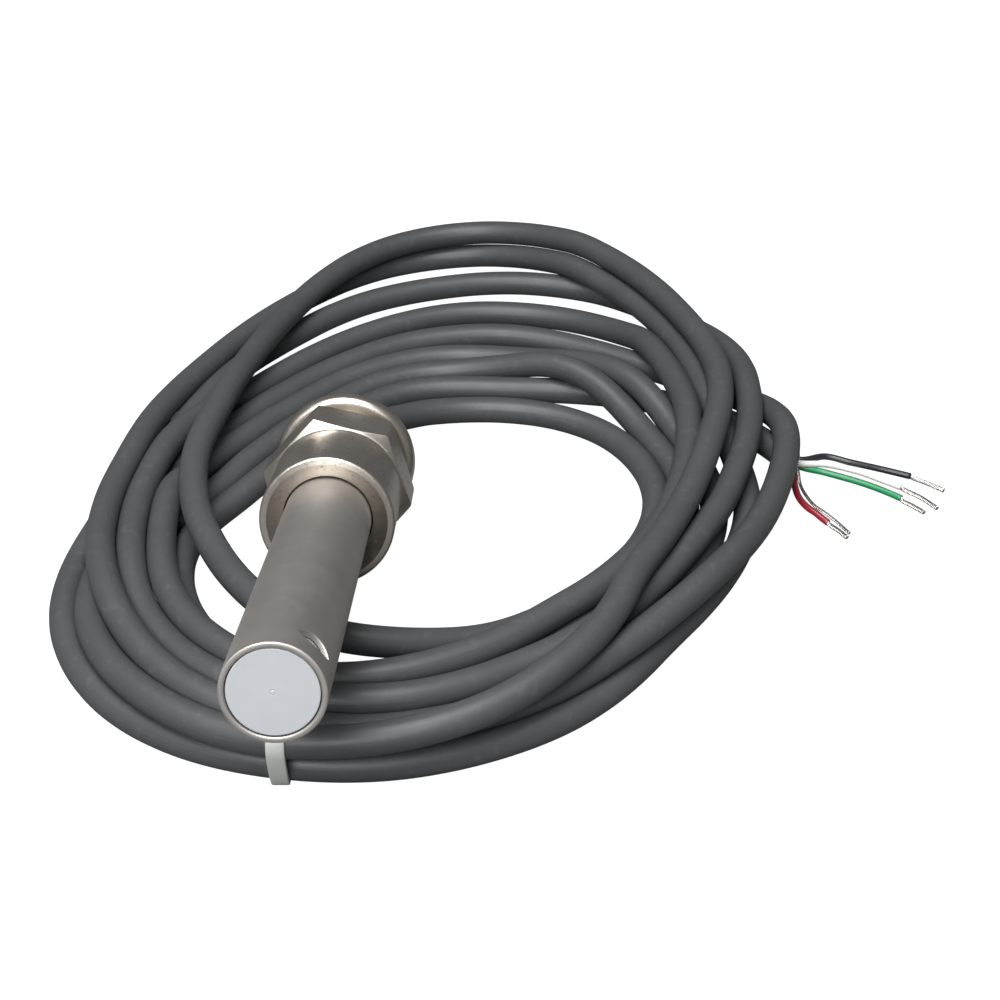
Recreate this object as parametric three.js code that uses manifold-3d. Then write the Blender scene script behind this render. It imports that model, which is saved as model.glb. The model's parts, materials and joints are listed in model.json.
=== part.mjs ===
// Smooth-barrel proximity sensor held in a compression fitting, with its cable wound into a tied coil.
// Millimetres, +Z up, +Y away from the sensing face. The fitting's flange, the coil and the tie lie on z = 0.
// The sensor is built along its own axis: local +Z points out of the sensing face and local z = 0 is where
// the barrel enters the fitting's nose. It is then tilted, because its barrel lies across the coil.
import * as THREE from "three";
import { mergeVertices } from "three/addons/utils/BufferGeometryUtils.js";
import Module from "manifold-3d";

const wasm = await Module();
wasm.setup();

// ---- driving dimensions ----
const BARREL_RADIUS = 9;
const BARREL_BORE = 7.95;
const FACE_Z = 82.2;
const BARREL_REAR_Z = -48.5;
const TILT = THREE.MathUtils.degToRad(16.2);
const YAW = THREE.MathUtils.degToRad(0.74);

const BORE_FIT = 0.06;
const GAP = 0.3;

const CAP_RADIUS = 7.75;
const CAP_RECESS = 0.25;
const CAP_LENGTH = 15;
const CAP_WALL = 1.55;
const CORE_RADIUS = 6.1;

const NUT_COLLAR_RADIUS = 14;
const NUT_RIM_RADIUS = 12.5;
const NUT_RIM_Z = 2;
const NUT_HEX_AF = 28.6;
const NUT_HEX_FRONT_Z = -18;
const NUT_REAR_Z = -31;
const NUT_SHOULDER_Z = -16;
const HEX_PHASE = THREE.MathUtils.degToRad(47);

const NECK_RADIUS = 12;
const THREAD_CLEARANCE = 0.1;
const FLANGE_RADIUS = 16;
const FLANGE_FRONT_Z = -36.5;
const FLANGE_REAR_Z = -41;
const SPIGOT_RADIUS = 12.35;
const SPIGOT_REAR_Z = -47.5;
const SEAL_FRONT_Z = -20.5;
const SEAL_REAR_Z = -30.5;
const SEAL_RADIUS = 10.7;

const CABLE_RADIUS = 3.25;
const CABLE_EXIT_Z = -52;
const CORE_WIRE_RADIUS = 0.8;

const COIL_FRONT_HEIGHT = 20.5;
const COIL_BACK_HEIGHT = 13;
const COIL_FRONT_Y = -37;
const COIL_BACK_Y = 187;
const COIL_ROUNDING = 5;

const TIE_X = -6.6;
const TIE_WIDTH = 3.6;
const TIE_THICKNESS = 1.2;

// ---- materials ----
const paint = (color, roughness, metalness = 0) => new THREE.MeshStandardMaterial({ color, roughness, metalness });
const STEEL = paint(0x9b9691, 0.45, 1);
const NICKEL = paint(0xc0b5a6, 0.3, 1);
const BRASS = paint(0xb8964a, 0.35, 1);
const WHITE_PLASTIC = paint(0xe6ebf0, 0.5);
const DARK_PLASTIC = paint(0x2a2b2d, 0.6);
const BOARD = paint(0x1f5a35, 0.5);
const CERAMIC = paint(0x3c3a38, 0.8);
const COPPER = paint(0xb56a3c, 0.35, 1);
const BLACK_RUBBER = paint(0x1c1c1d, 0.8);
const JACKET = paint(0x696b6c, 0.5);
const NYLON = paint(0xd0d5d0, 0.4);
const TIN = paint(0xb9b9b6, 0.35, 1);
const INSULATION = { black: 0x151617, white: 0xe9e9e6, green: 0x1c9a4a, red: 0xb01f2a };

// ---- shape helpers ----

// A solid turned about the local Z axis from [radius, z] pairs that close on themselves.
function turned(profile, sides = 40) {
  const points = [...profile, profile[0]].map(([radius, z]) => new THREE.Vector2(radius, z));
  const area = points.slice(1).reduce((sum, p, i) => sum + points[i].x * p.y - p.x * points[i].y, 0);
  if (area < 0) points.reverse();
  return new THREE.LatheGeometry(points, sides).rotateX(Math.PI / 2);
}

// Points of a rounded corner or round section: an arc about [radius, z], from one angle to another.
function arc(radius, z, bend, from, to, steps) {
  return Array.from({ length: steps + 1 }, (_, i) => {
    const angle = THREE.MathUtils.degToRad(from + ((to - from) * i) / steps);
    return [radius + bend * Math.cos(angle), z + bend * Math.sin(angle)];
  });
}

// A plain tube between two local z values.
const sleeve = (outer, inner, z0, z1, sides = 32) => turned([[inner, z0], [outer, z0], [outer, z1], [inner, z1]], sides);

const ring = (middle, z, section) => turned(arc(middle, z, section, 0, 315, 7), 28);

function toManifold(geometry) {
  const bare = geometry.clone();
  bare.deleteAttribute("normal");
  bare.deleteAttribute("uv");
  const merged = mergeVertices(bare, 1e-4);
  const mesh = new wasm.Mesh({
    numProp: 3,
    vertProperties: new Float32Array(merged.attributes.position.array),
    triVerts: new Uint32Array(merged.index.array),
  });
  return new wasm.Manifold(mesh);
}

function toGeometry(solid) {
  const mesh = solid.getMesh();
  const geometry = new THREE.BufferGeometry();
  geometry.setAttribute("position", new THREE.BufferAttribute(mesh.vertProperties, 3));
  geometry.setIndex(new THREE.BufferAttribute(mesh.triVerts, 1));
  return geometry;
}

const cut = (base, ...tools) => toGeometry(tools.reduce((solid, tool) => solid.subtract(toManifold(tool)), toManifold(base)));

function named(name, geometry, material, parent) {
  const mesh = new THREE.Mesh(geometry, material);
  mesh.name = name;
  parent.add(mesh);
  return mesh;
}

// A round tube along hand-chosen points.
function tube(points, radius, sides, steps) {
  const section = new THREE.Shape(
    Array.from({ length: sides }, (_, i) => {
      const angle = (2 * Math.PI * i) / sides;
      return new THREE.Vector2(radius * Math.cos(angle), radius * Math.sin(angle));
    }),
  );
  const path = new THREE.CatmullRomCurve3(points.map((p) => new THREE.Vector3(...p)));
  return new THREE.ExtrudeGeometry(section, { steps, bevelEnabled: false, extrudePath: path });
}

const sensor = new THREE.Group();

// ---- barrel: a thin stainless tube, with a lens-shaped window cut through its wall near the face ----
function barrelTube() {
  const windowHalfLength = 3.7;
  const windowHalfWidth = 1.7;
  const windowAngle = THREE.MathUtils.degToRad(43);
  const windowZ = FACE_Z - 6.6;
  const tube = turned([
    [BARREL_BORE, BARREL_REAR_Z],
    [BARREL_RADIUS, BARREL_REAR_Z],
    [BARREL_RADIUS, FACE_Z - 0.3],
    [BARREL_RADIUS - 0.3, FACE_Z],
    [BARREL_BORE, FACE_Z],
  ], 64);
  const bow = (windowHalfLength ** 2 + windowHalfWidth ** 2) / (2 * windowHalfWidth);
  const half = Math.asin(windowHalfLength / bow);
  const outline = [];
  for (const side of [1, -1]) {
    for (let i = 0; i < 8; i += 1) {
      const angle = side * (-half + (2 * half * i) / 8);
      outline.push(new THREE.Vector2(bow * Math.sin(angle), side * (bow * Math.cos(angle) - bow + windowHalfWidth)));
    }
  }
  const cutter = new THREE.ExtrudeGeometry(new THREE.Shape(outline.reverse()), { depth: 5, bevelEnabled: false });
  cutter.rotateX(-Math.PI / 2).translate(0, 7, 0).rotateZ(windowAngle - Math.PI / 2).translate(0, 0, windowZ);
  return cut(tube, cutter);
}
named("barrel_tube", barrelTube(), STEEL, sensor);

// ---- sensing head, front to back ----
const capFront = FACE_Z - CAP_RECESS;
const capRear = capFront - CAP_LENGTH;
const grooveFront = capRear + 3.6;
const grooveRear = grooveFront - 1.7;
named("face_cap", turned([
  [0, capFront],
  [0, capFront - 2],
  [CAP_RADIUS - CAP_WALL, capFront - 2],
  [CAP_RADIUS - CAP_WALL, capRear],
  [CAP_RADIUS, capRear],
  [CAP_RADIUS, grooveRear],
  [CAP_RADIUS - 0.8, grooveRear],
  [CAP_RADIUS - 0.8, grooveFront],
  [CAP_RADIUS, grooveFront],
  [CAP_RADIUS, capFront - 0.2],
  [CAP_RADIUS - 0.2, capFront],
], 48), WHITE_PLASTIC, sensor);
named("cap_o_ring", ring(7.42, (grooveFront + grooveRear) / 2, 0.42), BLACK_RUBBER, sensor);

const coreFront = capFront - 2 - GAP;
const coreRear = coreFront - 7;
const grooveFloor = coreFront - 4.2;
named("pot_core", turned([
  [0, coreFront],
  [2.4, coreFront],
  [2.4, grooveFloor],
  [4.9, grooveFloor],
  [4.9, coreFront],
  [CORE_RADIUS, coreFront],
  [CORE_RADIUS, coreRear],
  [0, coreRear],
], 24), CERAMIC, sensor);
const bobbinFront = coreFront - 0.2;
const bobbinRear = grooveFloor + GAP;
named("coil_bobbin", turned([
  [2.6, bobbinRear],
  [4.7, bobbinRear],
  [4.7, bobbinRear + 0.4],
  [3, bobbinRear + 0.4],
  [3, bobbinFront - 0.4],
  [4.7, bobbinFront - 0.4],
  [4.7, bobbinFront],
  [2.6, bobbinFront],
], 24), WHITE_PLASTIC, sensor);
named("sensing_winding", sleeve(4.5, 3.1, bobbinRear + 0.5, bobbinFront - 0.5), COPPER, sensor);
const carrierFront = coreRear - GAP;
const carrierRear = carrierFront - 4;
named("core_carrier", sleeve(CORE_RADIUS, 1.2, carrierRear, carrierFront), DARK_PLASTIC, sensor);

// ---- electronics on one board, inside a screening sleeve ----
const boardFront = carrierRear - GAP;
const boardRear = -20;
const BOARD_WIDTH = 11.4;
const BOARD_THICKNESS = 1;
named("screen_sleeve", sleeve(7.6, 7.3, -30, capRear - 1), COPPER, sensor);

function block(name, width, height, length, x, y, z, material) {
  const mesh = named(name, new THREE.BoxGeometry(width, height, length), material, sensor);
  mesh.position.set(x, y, z);
  return mesh;
}
block("circuit_board", BOARD_WIDTH, BOARD_THICKNESS, boardFront - boardRear, 0, 0, (boardFront + boardRear) / 2, BOARD);

// Each part on the board: name, width, height, length, sideways place, place along the board, side of it, material.
const BOARD_PARTS = [
  ["oscillator_chip", 3.9, 1.5, 8.6, 0, 48, 1, DARK_PLASTIC],
  ["trigger_chip", 3.9, 1.5, 5, 0, 34, 1, DARK_PLASTIC],
  ["voltage_regulator", 3.5, 1.6, 6.5, 1.2, 21, 1, DARK_PLASTIC],
  ["output_transistor", 3.5, 1.6, 6.5, -1.2, 9, 1, DARK_PLASTIC],
  ["reverse_diode", 2.6, 2.1, 4.5, 2.4, -2, 1, DARK_PLASTIC],
  ["surge_diode", 2.6, 2.1, 4.5, -2.4, -2, 1, DARK_PLASTIC],
  ["trimmer", 4.4, 2.4, 4.4, 0, 42, -1, WHITE_PLASTIC],
  ["input_capacitor", 3.2, 2.5, 6, 1.8, 12, -1, BRASS],
  ["output_capacitor", 3.2, 2.5, 6, -1.8, 0, -1, BRASS],
  ["film_capacitor", 4.8, 3.2, 7.2, 0, 27, -1, DARK_PLASTIC],
];
for (const [name, width, height, length, x, z, side, material] of BOARD_PARTS) {
  const clearOfBoard = 0.05;
  block(name, width, height, length, x, side * (BOARD_THICKNESS / 2 + clearOfBoard + height / 2), z, material);
}

// ---- rear closure and cable entry ----
const plugRear = BARREL_REAR_Z + 0.4;
named("rear_bushing", turned([
  [5.3, plugRear],
  [BARREL_BORE - 0.1, plugRear],
  [BARREL_BORE - 0.1, -38.5],
  [3.6, -38.5],
  [3.6, -42],
  [5.3, -42],
]), STEEL, sensor);
named("cable_grommet", turned([
  [3.35, CABLE_EXIT_Z + 0.2],
  [4.1, CABLE_EXIT_Z + 0.2],
  [5, plugRear],
  [5.2, plugRear + GAP],
  [5.2, -42.3],
  [3.35, -42.3],
]), BLACK_RUBBER, sensor);
named("cable_crimp", sleeve(4.3, 3.3, -38, -33.5), BRASS, sensor);
named("cable_entry", turned([
  [0, CABLE_EXIT_Z],
  [CABLE_RADIUS, CABLE_EXIT_Z],
  [CABLE_RADIUS, -31.5],
  [0, -31.5],
], 24), JACKET, sensor);

// Four insulated cores fan out from the jacket's end to pads on the board's rear edge.
const INNER_WIRES = { black: [-1, 1], white: [1, 1], green: [-1, -1], red: [1, -1] };
for (const [color, [sideX, sideY]] of Object.entries(INNER_WIRES)) {
  named(`inner_wire_${color}`, tube([
    [1.15 * sideX, 1.15 * sideY, -31.2],
    [1.3 * sideX, 1.3 * sideY, -28],
    [2.6 * sideX, 1.6 * sideY, -23.5],
    [3.6 * sideX, 1.6 * sideY, -19],
    [3.6 * sideX, 1.6 * sideY, -15.5],
  ], 0.8, 6, 6), paint(INSULATION[color], 0.4), sensor);
}

// ---- compression fitting: nut, thrust ring, seal and flanged body, all loose on the barrel ----
const BARREL_HOLE = BARREL_RADIUS + BORE_FIT;

// Nut: a long round collar turned from hexagon bar, with a countersunk nose and both ends of the hexagon chamfered.
function glandNut() {
  const cornerRadius = NUT_HEX_AF / Math.sqrt(3);
  const chamfer = 1.3;
  const chamferRadius = NUT_HEX_AF / 2 - 0.2;
  const nose = arc(NUT_COLLAR_RADIUS - 2, NUT_RIM_Z - 2.3, 2, 0, 75, 4);
  const collar = turned([
    [0, NUT_RIM_Z],
    [0, NUT_HEX_FRONT_Z - 1],
    [NUT_COLLAR_RADIUS, NUT_HEX_FRONT_Z - 1],
    ...nose,
    [NUT_RIM_RADIUS, NUT_RIM_Z],
  ], 48);
  const corners = Array.from({ length: 6 }, (_, i) => {
    const angle = HEX_PHASE + (i * Math.PI) / 3;
    return new THREE.Vector2(cornerRadius * Math.cos(angle), cornerRadius * Math.sin(angle));
  });
  const hexLength = NUT_HEX_FRONT_Z - NUT_REAR_Z;
  const hexagon = new THREE.ExtrudeGeometry(new THREE.Shape(corners), { depth: hexLength, bevelEnabled: false });
  hexagon.translate(0, 0, NUT_REAR_Z);
  const turnedLimit = turned([
    [0, NUT_REAR_Z],
    [chamferRadius, NUT_REAR_Z],
    [cornerRadius + 0.1, NUT_REAR_Z + chamfer],
    [cornerRadius + 0.1, NUT_HEX_FRONT_Z - chamfer],
    [chamferRadius, NUT_HEX_FRONT_Z],
    [0, NUT_HEX_FRONT_Z],
  ], 48);
  const hollow = turned([
    [0, NUT_RIM_Z + 1],
    [NUT_RIM_RADIUS + 0.9, NUT_RIM_Z + 1],
    [BARREL_HOLE + 0.25, 0],
    [BARREL_HOLE + 0.25, NUT_SHOULDER_Z],
    [NECK_RADIUS + THREAD_CLEARANCE, NUT_SHOULDER_Z],
    [NECK_RADIUS + THREAD_CLEARANCE, NUT_REAR_Z - 1],
    [0, NUT_REAR_Z - 1],
  ], 48);
  const chamfered = toManifold(hexagon).intersect(toManifold(turnedLimit));
  return toGeometry(toManifold(collar).add(chamfered).subtract(toManifold(hollow)));
}
named("gland_nut", glandNut(), NICKEL, sensor);

named("thrust_ring", turned([
  [BARREL_HOLE, SEAL_FRONT_Z + GAP],
  [SEAL_RADIUS - 0.1, SEAL_FRONT_Z + GAP],
  [NECK_RADIUS - 0.3, SEAL_FRONT_Z + 1.5],
  [NECK_RADIUS - 0.3, NUT_SHOULDER_Z - GAP],
  [BARREL_HOLE, NUT_SHOULDER_Z - GAP],
]), BRASS, sensor);

named("clamp_seal", turned([
  [BARREL_HOLE, SEAL_REAR_Z],
  [BARREL_HOLE + 0.4, SEAL_REAR_Z],
  [SEAL_RADIUS, SEAL_REAR_Z + 1.6],
  [SEAL_RADIUS, SEAL_FRONT_Z],
  [BARREL_HOLE, SEAL_FRONT_Z],
]), BLACK_RUBBER, sensor);

// Body: threaded neck with the seal's chamber, a flange with a rolled edge, and a threaded spigot behind it.
const flangeRoll = (FLANGE_FRONT_Z - FLANGE_REAR_Z) / 2;
named("gland_body", turned([
  [BARREL_HOLE + 0.25, SPIGOT_REAR_Z],
  [SPIGOT_RADIUS - 0.8, SPIGOT_REAR_Z],
  [SPIGOT_RADIUS, SPIGOT_REAR_Z + 0.8],
  [SPIGOT_RADIUS, FLANGE_REAR_Z],
  ...arc(FLANGE_RADIUS - flangeRoll, (FLANGE_FRONT_Z + FLANGE_REAR_Z) / 2, flangeRoll, -90, 90, 6),
  [NECK_RADIUS, FLANGE_FRONT_Z],
  [NECK_RADIUS, SEAL_FRONT_Z - 0.9],
  [NECK_RADIUS - 0.7, SEAL_FRONT_Z - 0.2],
  [SEAL_RADIUS + 0.1, SEAL_FRONT_Z - 0.2],
  [SEAL_RADIUS + 0.1, SEAL_REAR_Z + 1.5],
  [BARREL_HOLE + 0.45, SEAL_REAR_Z - GAP],
  [BARREL_HOLE + 0.25, SEAL_REAR_Z - 1],
], 40), NICKEL, sensor);
named("flange_gasket", sleeve(14.3, SPIGOT_RADIUS + 0.1, FLANGE_REAR_Z - 1.8, FLANGE_REAR_Z - 0.05, 36), BLACK_RUBBER, sensor);

// ---- the tilted sensor stands on z = 0, centred on x = 0 and y = 0 ----
sensor.rotation.set(Math.PI / 2 - TILT, 0, -YAW, "ZYX");
sensor.updateMatrixWorld(true);
const extent = new THREE.Box3().setFromObject(sensor, true);
const centre = extent.getCenter(new THREE.Vector3());
sensor.position.set(-centre.x, -centre.y, -extent.min.z);

const part = new THREE.Group();
part.add(sensor);

// ---- the cable where it isn't coiled: from the grommet to the inside of the coil ----
const LEAD_POINTS = [
  [0.33, 65.5, 11.65],
  [0.4, 68.6, 10.75],
  [1.8, 75.5, 8.8],
  [5.4, 81.6, 7],
  [10.6, 86.2, 5.5],
];
named("cable_lead", tube(LEAD_POINTS, CABLE_RADIUS, 10, 5), JACKET, part);

// ---- the coil: one solid of its outer shape, an oval that is narrow and tall where the tie gathers it ----
const COIL_OUTLINE = [
  [4, COIL_FRONT_Y], [62, -12], [104, 53], [106, 103], [77, 170],
  [26, COIL_BACK_Y], [-24, 148], [-55, 84], [-61, 13], [-36, -27],
];
const COIL_HOLE = [[30, 92], [60, 84], [72, 51], [48, 11], [4, -12], [-30, 8], [-36, 57], [-18, 93]];
const closedOutline = (points, steps) =>
  new THREE.CatmullRomCurve3(points.map(([x, y]) => new THREE.Vector3(x, y, 0)), true, "catmullrom", 0.5)
    .getPoints(steps)
    .slice(0, -1)
    .map((p) => new THREE.Vector2(p.x, p.y));

function coilSolid() {
  const shape = new THREE.Shape(closedOutline(COIL_OUTLINE, 40));
  shape.holes.push(new THREE.Path(closedOutline(COIL_HOLE, 32)));
  const solid = new THREE.ExtrudeGeometry(shape, {
    depth: 1,
    bevelThickness: 1,
    bevelSize: COIL_ROUNDING,
    bevelOffset: -COIL_ROUNDING,
    bevelSegments: 3,
  });
  // The section's height follows y: tall at the tied front, falling to the spread back half.
  const position = solid.attributes.position;
  const rawHeight = 3;
  for (let i = 0; i < position.count; i += 1) {
    const along = (position.getY(i) - COIL_FRONT_Y) / (COIL_BACK_Y - COIL_FRONT_Y);
    const fall = THREE.MathUtils.clamp(2 * along, 0, 1);
    const height = THREE.MathUtils.lerp(COIL_FRONT_HEIGHT, COIL_BACK_HEIGHT, fall);
    position.setZ(i, ((position.getZ(i) + 1) / rawHeight) * height);
  }
  return solid;
}

// ---- the cable tie round the front of the coil ----
const TIE_FRONT_Y = COIL_FRONT_Y - 0.3;
const TIE_BACK_Y = -8.5;
const TIE_TOP_Z = COIL_FRONT_HEIGHT + 1.9;
const TIE_CORNER = 8;

// A rounded rectangle in the plane across the bundle, inset from the tie's outer outline.
function tieOutline(inset) {
  const y0 = TIE_FRONT_Y + inset;
  const y1 = TIE_BACK_Y - inset;
  const z0 = inset;
  const z1 = TIE_TOP_Z - inset;
  const corner = TIE_CORNER - inset;
  const outline = new THREE.Path();
  outline.moveTo(y0 + corner, z0).lineTo(y1 - corner, z0).absarc(y1 - corner, z0 + corner, corner, -Math.PI / 2, 0);
  outline.lineTo(y1, z1 - corner).absarc(y1 - corner, z1 - corner, corner, 0, Math.PI / 2);
  outline.lineTo(y0 + corner, z1).absarc(y0 + corner, z1 - corner, corner, Math.PI / 2, Math.PI);
  outline.lineTo(y0, z0 + corner).absarc(y0 + corner, z0 + corner, corner, Math.PI, 1.5 * Math.PI);
  return outline.getPoints(4);
}

// A frame across the bundle: its outline and hole stand in the Y-Z plane and it is as wide along X as asked.
function tieFrame(outer, inner, width) {
  const shape = new THREE.Shape(outer);
  shape.holes.push(new THREE.Path(inner));
  const frame = new THREE.ExtrudeGeometry(shape, { depth: width, bevelEnabled: false });
  return frame.translate(0, 0, -width / 2).applyMatrix4(new THREE.Matrix4().makeBasis(
    new THREE.Vector3(0, 1, 0),
    new THREE.Vector3(0, 0, 1),
    new THREE.Vector3(1, 0, 0),
  )).translate(TIE_X, 0, 0);
}
const around = [[-60, -10], [20, -10], [20, 40], [-60, 40]].map(([y, z]) => new THREE.Vector2(y, z));
const tieGroove = tieFrame(around, tieOutline(TIE_THICKNESS + GAP), TIE_WIDTH + 2 * GAP);
named("cable_coil", cut(coilSolid(), tieGroove), JACKET, part);
named("tie_band", tieFrame(tieOutline(0), tieOutline(TIE_THICKNESS), TIE_WIDTH), NYLON, part);
const tieHead = named("tie_head", new THREE.BoxGeometry(5.4, 3.4, 4.6), NYLON, part);
tieHead.position.set(TIE_X, TIE_BACK_Y + GAP + 1.7, 6);

// ---- the far end: four stripped and tinned cores and a bare drain wire, lying beside the coil ----
const CORE_ROUTES = {
  black: [[109.6, 73.8, 4.2], [113.7, 72.2, 3.9], [119.4, 70, 3.3], [126.4, 68.2, 2.4], [133.3, 66, 1.7]],
  white: [[109.8, 73.2, 2.4], [114.9, 71, 2.1], [121.5, 67.5, 1.8], [126, 65, 1.4], [130.4, 62.2, 1.1]],
  green: [[108.9, 71.4, 1.7], [113.4, 69.2, 1.5], [120.9, 63.9, 1.3], [125.6, 61, 1.1], [129.6, 57.8, 0.9]],
  red: [[107, 52.8, 2.2], [108.4, 51.1, 1.9], [109.6, 49.7, 1.4], [110.9, 48.2, 1]],
};
const TINNED_ROUTES = {
  black: [[133.6, 65.8, 1.6], [137.2, 63.9, 1.1], [140.6, 61.6, 0.7]],
  white: [[130.7, 62, 1], [134.2, 58.9, 0.8], [137.5, 54.4, 0.7]],
  green: [[129.8, 57.5, 0.8], [131.8, 55.5, 0.7], [134.1, 52.7, 0.7]],
  red: [[111.1, 47.9, 0.9], [112.9, 45.6, 0.8], [114.5, 43, 0.7]],
};
const DRAIN_ROUTE = [[108.6, 55.2, 1.2], [110.6, 52.8, 0.9], [112.8, 49.8, 0.6], [115.4, 44.9, 0.5]];
for (const [color, route] of Object.entries(CORE_ROUTES)) {
  named(`core_${color}`, tube(route, CORE_WIRE_RADIUS, 8, 6), paint(INSULATION[color], 0.4), part);
  named(`tinned_end_${color}`, tube(TINNED_ROUTES[color], 0.55, 8, 3), TIN, part);
}
named("drain_wire", tube(DRAIN_ROUTE, 0.4, 8, 5), TIN, part);

export default part;
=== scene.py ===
"""Smooth-barrel proximity sensor in a compression fitting, its cable wound into one loose coil held by a tie.

Lengths in the tables below are millimetres; every mesh is built in metres, in the row's own frame.
"""

import json
from math import radians

import bmesh
import bpy
import mathutils
import numpy as np
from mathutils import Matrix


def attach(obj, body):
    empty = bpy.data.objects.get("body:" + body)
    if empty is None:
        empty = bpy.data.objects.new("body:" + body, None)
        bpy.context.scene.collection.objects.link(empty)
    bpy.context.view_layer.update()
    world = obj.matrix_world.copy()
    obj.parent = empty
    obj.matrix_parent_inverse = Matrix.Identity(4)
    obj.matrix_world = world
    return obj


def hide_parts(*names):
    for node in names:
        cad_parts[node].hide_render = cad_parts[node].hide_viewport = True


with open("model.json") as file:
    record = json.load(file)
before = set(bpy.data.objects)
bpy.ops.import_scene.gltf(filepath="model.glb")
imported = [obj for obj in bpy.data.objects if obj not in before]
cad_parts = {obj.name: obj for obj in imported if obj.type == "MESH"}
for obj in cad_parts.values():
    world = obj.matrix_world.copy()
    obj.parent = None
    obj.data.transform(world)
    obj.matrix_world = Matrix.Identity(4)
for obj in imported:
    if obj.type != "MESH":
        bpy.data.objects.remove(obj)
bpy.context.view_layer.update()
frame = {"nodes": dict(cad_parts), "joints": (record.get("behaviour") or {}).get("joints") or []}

MM = 0.001
nodes = frame["nodes"]
joints = {joint["name"]: joint for joint in frame["joints"]}

# ---- the sensor's own axes: z out of the sensing face, z = 0 where the barrel enters the fitting's nose ----
AXIS = np.array(joints["nut_turn"]["axis"], float)
AXIS /= np.linalg.norm(AXIS)
CENTRE = np.array(joints["nut_turn"]["pos_m"], float)
RIGHT = np.cross((0, 0, 1), AXIS)
RIGHT /= np.linalg.norm(RIGHT)
UP = np.cross(AXIS, RIGHT)

BARREL_RADIUS = 9.0
BARREL_BORE = 7.95
FACE_Z = 82.2
BARREL_REAR_Z = -48.5
CAP_RADIUS = 7.75
CAP_FRONT_Z = FACE_Z - 0.25
CAP_REAR_Z = CAP_FRONT_Z - 15
CABLE_RADIUS = 3.25
CABLE_DIAMETER = 2 * CABLE_RADIUS
CABLE_START_Z = -31.5
CABLE_EXIT_Z = -52.0
HEX_AF = 28.6
HEX_PHASE = radians(47)

# ---- camera: level, above and in front, looking down along +Y ----
CAMERA_PLACE = (0.03523, -0.26813, 0.23315)
CAMERA_DOWN = 35.5
CAMERA_LENS = 61.2
camera = bpy.data.objects.new("camera", bpy.data.cameras.new("camera"))
camera.data.sensor_width = 36
camera.data.lens = CAMERA_LENS
camera.data.clip_start = 0.01
camera.location = CAMERA_PLACE
camera.rotation_euler = (radians(90 - CAMERA_DOWN), 0, 0)
bpy.context.collection.objects.link(camera)
bpy.context.scene.camera = camera


# ---- mesh helpers ----
def on_axis(x, y, z):
    """A point or an array of points at x right, y up and z along the sensor's axis, in millimetres."""
    x, y, z = (np.asarray(value, float)[..., None] for value in np.broadcast_arrays(x, y, z))
    return CENTRE + (x * RIGHT + y * UP + z * AXIS) * MM


def grid_faces(rows, columns, wrap_rows, wrap_columns):
    """Quads of a rows by columns grid; a wrapped direction joins its last line to its first."""
    i = np.arange(rows if wrap_rows else rows - 1)[:, None]
    j = np.arange(columns if wrap_columns else columns - 1)[None, :]
    i2 = (i + 1) % rows
    j2 = (j + 1) % columns
    corners = i * columns + j, i * columns + j2, i2 * columns + j2, i2 * columns + j
    return np.stack(np.broadcast_arrays(*corners), -1).reshape(-1, 4)


def make_piece(name, points, faces, material, body, uv=None, weld=0.0, replaces=(), outward=False):
    """A smooth-shaded mesh piece that rides on a body. uv is one pair for each point."""
    mesh = bpy.data.meshes.new(name)
    mesh.from_pydata(np.asarray(points, float).reshape(-1, 3).tolist(), [], [list(f) for f in faces])
    if uv is not None:
        corners = np.empty(len(mesh.loops), np.int32)
        mesh.loops.foreach_get("vertex_index", corners)
        layer = mesh.uv_layers.new(name="UVMap")
        layer.data.foreach_set("uv", np.asarray(uv, np.float32).reshape(-1, 2)[corners].ravel())
    if weld or outward:
        shape = bmesh.new()
        shape.from_mesh(mesh)
        if weld:
            bmesh.ops.remove_doubles(shape, verts=shape.verts, dist=weld)
        if outward:
            bmesh.ops.recalc_face_normals(shape, faces=shape.faces)
        shape.to_mesh(mesh)
        shape.free()
    mesh.polygons.foreach_set("use_smooth", np.ones(len(mesh.polygons), bool))
    mesh.materials.append(material)
    piece = bpy.data.objects.new(name, mesh)
    bpy.context.collection.objects.link(piece)
    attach(piece, body)
    if replaces:
        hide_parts(*replaces)
    return piece


def rounded(profile, closed=True, default=0.15, steps=4):
    """A profile with each corner eased: corners are (radius, z) or (radius, z, ease). A corner becomes a
    quadratic curve between two points that lie one ease away from it, with a support point beyond each end.
    An ease takes at most the room share of each side."""
    room = 0.42
    support = 1.35
    count = len(profile)
    line = []
    for k, corner in enumerate(profile):
        here = np.array(corner[:2], float)
        ease = corner[2] if len(corner) > 2 else default
        if not closed and k in (0, count - 1) or ease == 0:
            line.append(here)
            continue
        before = np.array(profile[k - 1][:2], float) - here
        after = np.array(profile[(k + 1) % count][:2], float) - here
        ease = min(ease, room * np.linalg.norm(before), room * np.linalg.norm(after))
        before = before / np.linalg.norm(before) * ease
        after = after / np.linalg.norm(after) * ease
        t = np.linspace(0, 1, steps + 1)[:, None]
        line.append(here + support * before)
        line.extend(here + (1 - t) ** 2 * before + t ** 2 * after)
        line.append(here + support * after)
    return np.array(line)


def turned(name, profile, material, body, replaces, closed=True, columns=128, default=0.15):
    """A profile of (radius, z) turned about the sensor's axis: x = r cos a, y = r sin a. A closed profile is
    a ring; an open one starts and ends on the axis."""
    line = rounded(profile, closed, default)
    angle = np.linspace(0, 2 * np.pi, columns, endpoint=False)
    radius, z = line[:, :1], line[:, 1:]
    points = on_axis(radius * np.cos(angle), radius * np.sin(angle), z + 0 * angle)
    faces = grid_faces(len(line), columns, closed, True)
    return make_piece(name, points, faces, material, body, weld=1e-6, replaces=replaces, outward=True)


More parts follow.
